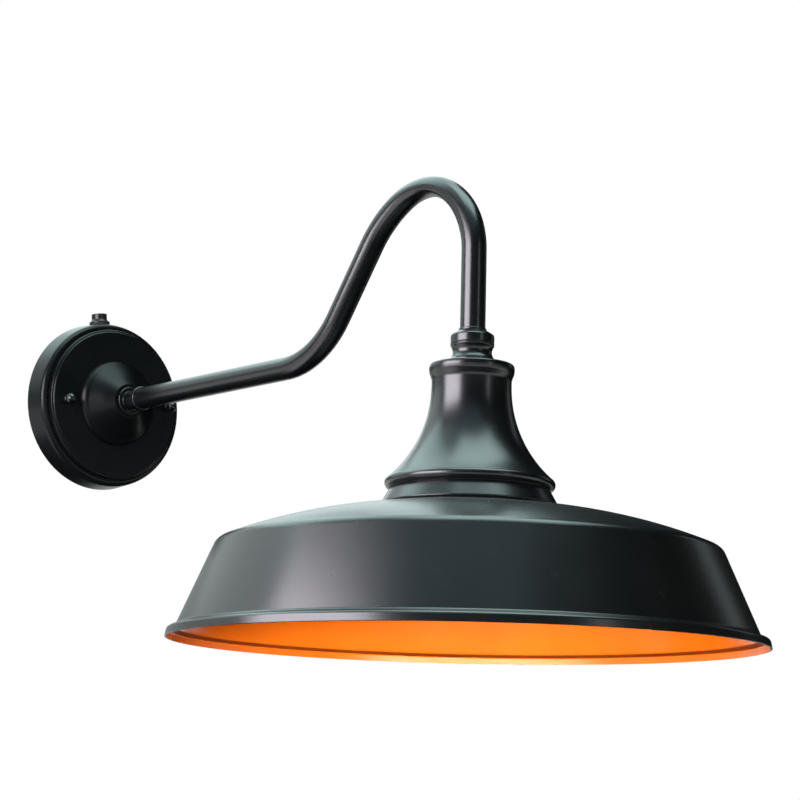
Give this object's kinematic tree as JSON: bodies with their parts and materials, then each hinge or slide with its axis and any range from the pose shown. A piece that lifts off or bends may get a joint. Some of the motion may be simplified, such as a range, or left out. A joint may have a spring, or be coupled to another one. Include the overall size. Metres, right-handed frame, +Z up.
{
  "type": "gooseneck barn wall light",
  "caption": "Outdoor barn-style wall light: round stepped canopy with a dusk-to-dawn photocell, bent gooseneck arm, trumpet neck and wide spun shade over a screw-in bulb.",
  "frame": {"origin": "on the canopy's axis, in the wall plane behind the gasket and crossbar", "axes": "+Y into the wall, the arm runs out along -Y, +Z up, X across the wall"},
  "size_m": [0.3559, 0.581, 0.2959],
  "materials": {
    "powder_coat": "satin dark bronze powder coat",
    "shade_coat": "satin dark bronze outside, gloss orange enamel inside",
    "foam": "closed-cell foam",
    "black_rubber": "moulded rubber",
    "zinc_steel": "zinc plated",
    "green_steel": "green dyed zinc",
    "black_plastic": "moulded, fine texture",
    "clear_lens": "clear",
    "sensor": "matte disc",
    "porcelain": "glazed porcelain",
    "brass": "plain",
    "cap_metal": "rolled thread",
    "white_plastic": "moulded",
    "frosted_globe": "frosted diffuser",
    "black_insulation": "wire insulation",
    "red_insulation": "wire insulation",
    "white_insulation": "wire insulation",
    "connector_plastic": "moulded"
  },
  "bodies": {
    "fixture": {"canopy": "powder_coat", "cap_nuts": "powder_coat", "arm_flange": "powder_coat", "arm_collar": "powder_coat", "gooseneck_arm": "powder_coat", "arm_wall_ring": "powder_coat", "arm_end_ring": "powder_coat", "coupling": "powder_coat", "neck": "powder_coat", "shade": "shade_coat", "wall_gasket": "foam", "photocell_gasket": "black_rubber", "crossbar": "zinc_steel", "canopy_studs": "zinc_steel", "stud_lock_nuts": "zinc_steel", "wall_nipple": "zinc_steel", "wall_nipple_washer": "zinc_steel", "wall_nipple_nut": "zinc_steel", "lamp_nipple": "zinc_steel", "lamp_nipple_washer": "zinc_steel", "lamp_nipple_nut": "zinc_steel", "arm_end_bush": "zinc_steel", "socket_cap": "zinc_steel", "socket_screws": "zinc_steel", "shade_screws": "zinc_steel", "contact_spring": "zinc_steel", "ground_screw": "green_steel", "photocell_body": "black_plastic", "photocell_nut": "black_plastic", "photocell_lens": "clear_lens", "photocell_sensor": "sensor", "socket_body": "porcelain", "screw_shell": "brass", "live_lead": "black_insulation", "photocell_lead": "red_insulation", "neutral_lead": "white_insulation", "wire_connectors": "connector_plastic"},
    "contact": {"centre_contact": "brass"},
    "bulb": {"bulb_tip": "brass", "bulb_insulator": "black_plastic", "bulb_cap": "cap_metal", "bulb_body": "white_plastic", "bulb_globe": "frosted_globe"}
  },
  "joints": [
    {"name": "contact_follow", "type": "slide", "parent": "fixture", "child": "contact", "axis": [0, 0, -1], "range_m": [0, 0.00363], "deforming": ["contact_spring"]},
    {"name": "bulb_turn", "type": "hinge", "parent": "contact", "child": "bulb", "pos_m": [0, -0.403, -0.06], "axis": [0, 0, -1], "range_deg": [0, 360]}
  ],
  "couplings": [
    {"joint": "contact_follow", "follows": "bulb_turn", "m_per_rad": 0.0005775}
  ]
}
